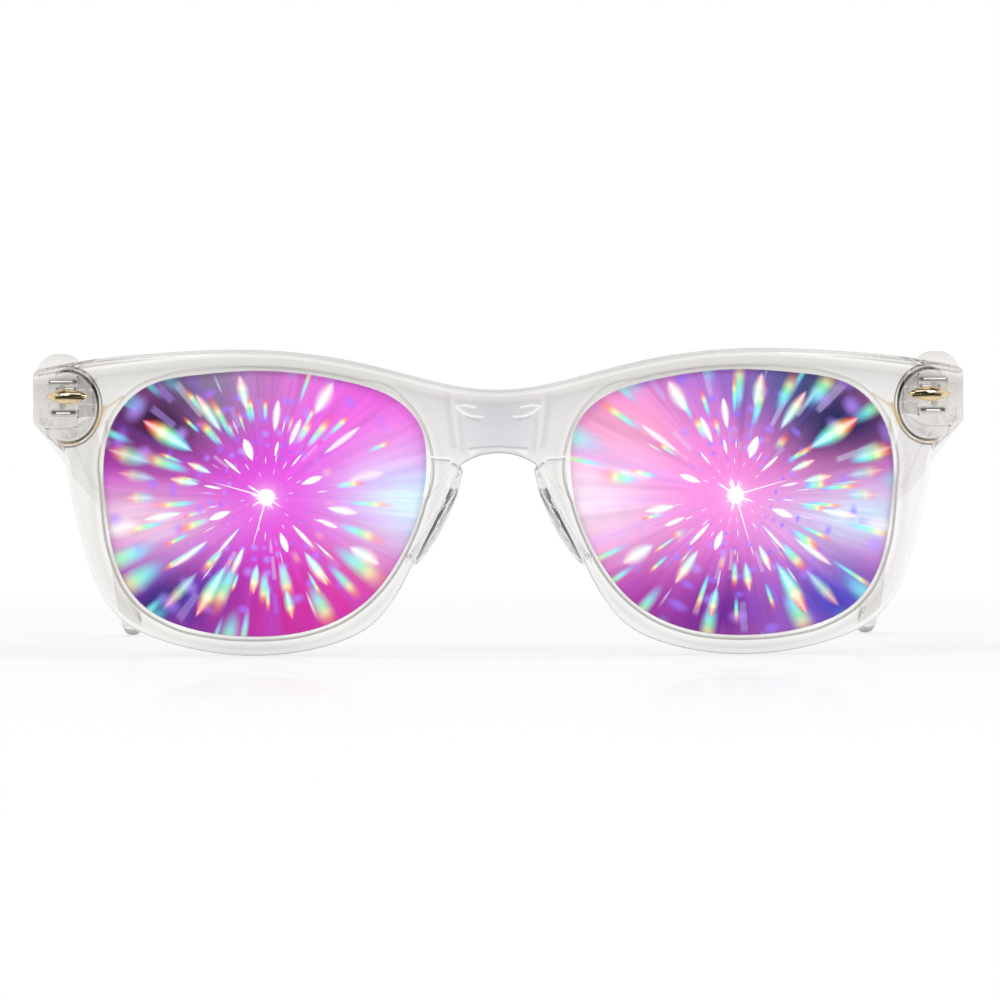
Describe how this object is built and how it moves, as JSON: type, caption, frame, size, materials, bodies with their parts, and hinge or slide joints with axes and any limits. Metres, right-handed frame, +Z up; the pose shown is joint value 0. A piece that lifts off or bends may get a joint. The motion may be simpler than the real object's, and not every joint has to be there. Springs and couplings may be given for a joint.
{
  "type": "diffraction glasses",
  "caption": "Clear plastic party glasses with starburst diffraction film lenses, pointed oval metal badges on the end pieces and temples that fold on screwed metal hinges.",
  "frame": {"origin": "middle of the bounding box, on the surface that the rim bottoms and the ear tips rest on", "axes": "+Z up, -Y the way the wearer looks, +X towards the wearer's left, temples open along +Y"},
  "size_m": [0.146, 0.1494, 0.0478],
  "materials": {
    "clear_plastic": "clear moulded plastic, polished",
    "lens_sheet": "clear polycarbonate sheet, polished",
    "diffraction_film": "embossed grating film that shows a radial rainbow burst",
    "pale_gold": "polished, pale gold",
    "hinge_metal": "plated, satin",
    "screw_steel": "bright plated steel"
  },
  "bodies": {
    "front": {"front_frame": "clear_plastic", "left_lens": "lens_sheet", "left_diffraction_film": "diffraction_film", "left_badge": "pale_gold", "left_front_hinge_leaf": "hinge_metal", "left_front_leaf_upper_screw": "screw_steel", "left_front_leaf_lower_screw": "screw_steel", "left_hinge_screw": "screw_steel", "right_lens": "lens_sheet", "right_diffraction_film": "diffraction_film", "right_badge": "pale_gold", "right_front_hinge_leaf": "hinge_metal", "right_front_leaf_upper_screw": "screw_steel", "right_front_leaf_lower_screw": "screw_steel", "right_hinge_screw": "screw_steel"},
    "left_arm": {"left_temple": "clear_plastic", "left_temple_hinge_leaf": "hinge_metal", "left_temple_leaf_front_screw": "screw_steel", "left_temple_leaf_rear_screw": "screw_steel"},
    "right_arm": {"right_temple": "clear_plastic", "right_temple_hinge_leaf": "hinge_metal", "right_temple_leaf_front_screw": "screw_steel", "right_temple_leaf_rear_screw": "screw_steel"}
  },
  "joints": [
    {"name": "left_fold", "type": "hinge", "parent": "front", "child": "left_arm", "pos_m": [0.0644, -0.05869, 0.04059], "axis": [0, 0, 1], "range_deg": [0, 90]},
    {"name": "right_fold", "type": "hinge", "parent": "front", "child": "right_arm", "pos_m": [-0.0644, -0.05869, 0.04059], "axis": [0, 0, -1], "range_deg": [0, 83]}
  ]
}
